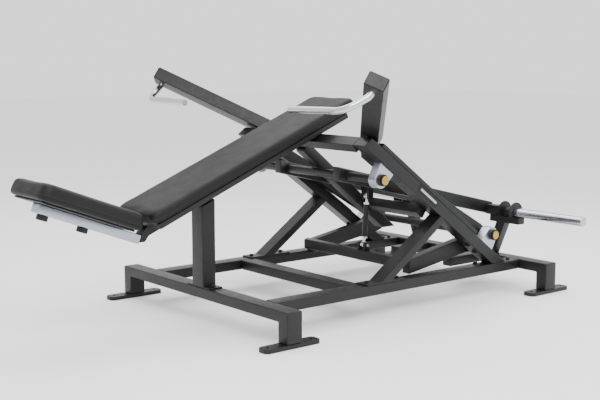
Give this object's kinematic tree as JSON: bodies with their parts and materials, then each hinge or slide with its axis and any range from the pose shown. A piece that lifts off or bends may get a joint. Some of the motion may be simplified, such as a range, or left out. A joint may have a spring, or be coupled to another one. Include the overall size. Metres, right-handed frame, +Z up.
{
  "type": "leg press machine",
  "caption": "Plate-loaded press machine with a V-shaped padded bench, two linked lever frames with grip arms and weight horns, and a braced tube base on feet.",
  "frame": {"origin": "on the floor, under the middle of the machine's bounding box", "axes": "+Z up; -X towards the seat end, +X towards the weight horns; +Y to the left of someone on the bench; Y = 0 is the centre plane"},
  "size_m": [3.3242, 2.1346, 1.4057],
  "materials": {
    "powder_coat": "satin charcoal powder coat",
    "vinyl": "grained black vinyl, stitched seams",
    "board": "painted black board",
    "knob_plastic": "matte black",
    "seat_tube_steel": "silver, brushed",
    "bearing_steel": "silver painted housing",
    "cap_brass": "polished",
    "chrome": "bright chrome",
    "rod_end_steel": "zinc plated",
    "black_steel": "satin black"
  },
  "bodies": {
    "fixed_frame": {"front_foot_l": "powder_coat", "front_foot_r": "powder_coat", "rear_foot_l": "powder_coat", "rear_foot_r": "powder_coat", "front_base_bar": "powder_coat", "rear_base_bar": "powder_coat", "side_rail_l": "powder_coat", "side_rail_r": "powder_coat", "rear_stub_l": "powder_coat", "rear_stub_r": "powder_coat", "diagonal_l": "powder_coat", "diagonal_r": "powder_coat", "strut_l": "powder_coat", "strut_r": "powder_coat", "doubler_l": "powder_coat", "doubler_r": "powder_coat", "upper_bearing_l": "bearing_steel", "upper_bearing_r": "bearing_steel", "lower_bearing_l": "bearing_steel", "lower_bearing_r": "bearing_steel", "upper_cap_l": "cap_brass", "upper_cap_r": "cap_brass", "lower_cap_l": "cap_brass", "lower_cap_r": "cap_brass", "weight_rest_l": "powder_coat", "weight_rest_r": "powder_coat", "mid_base_bar": "powder_coat", "apex_bar": "powder_coat", "diagonal_centre": "powder_coat", "brace_bar": "powder_coat", "bench_post": "powder_coat", "bench_beam": "powder_coat", "back_board": "board", "seat_board": "board", "back_pad": "vinyl", "seat_pad": "vinyl", "seat_tube": "seat_tube_steel", "seat_knob_1": "knob_plastic", "seat_knob_2": "knob_plastic"},
    "press_frame": {"press_side_l": "powder_coat", "press_side_r": "powder_coat", "arm_l": "powder_coat", "arm_r": "powder_coat", "handle_l": "chrome", "handle_r": "chrome", "press_tube": "powder_coat", "press_clevis": "powder_coat", "press_shaft": "black_steel"},
    "weight_frame": {"lever_l": "powder_coat", "lever_r": "powder_coat", "horn_hub_l": "powder_coat", "horn_hub_r": "powder_coat", "horn_l": "chrome", "horn_r": "chrome", "lever_tube": "powder_coat", "weight_clevis": "powder_coat", "weight_shaft": "black_steel"},
    "link": {"link_tube": "black_steel", "link_eye_top": "rod_end_steel", "link_eye_bottom": "rod_end_steel"}
  },
  "joints": [
    {"name": "press_swing", "type": "hinge", "parent": "fixed_frame", "child": "press_frame", "pos_m": [1.1741, 0, 0.376], "axis": [0, 1, 0], "range_deg": [0, 12]},
    {"name": "weight_swing", "type": "hinge", "parent": "fixed_frame", "child": "weight_frame", "pos_m": [0.2241, 0, 0.785], "axis": [0, -1, 0], "range_deg": [0, 20.4]},
    {"name": "link_swing", "type": "hinge", "parent": "weight_frame", "child": "link", "pos_m": [0.5641, -0.1, 0.62], "axis": [0, 1, 0], "range_deg": [0, 28.2]}
  ],
  "couplings": [
    {"joint": "weight_swing", "follows": "press_swing", "ratio": 1.7},
    {"joint": "link_swing", "follows": "press_swing", "ratio": 2.35}
  ]
}
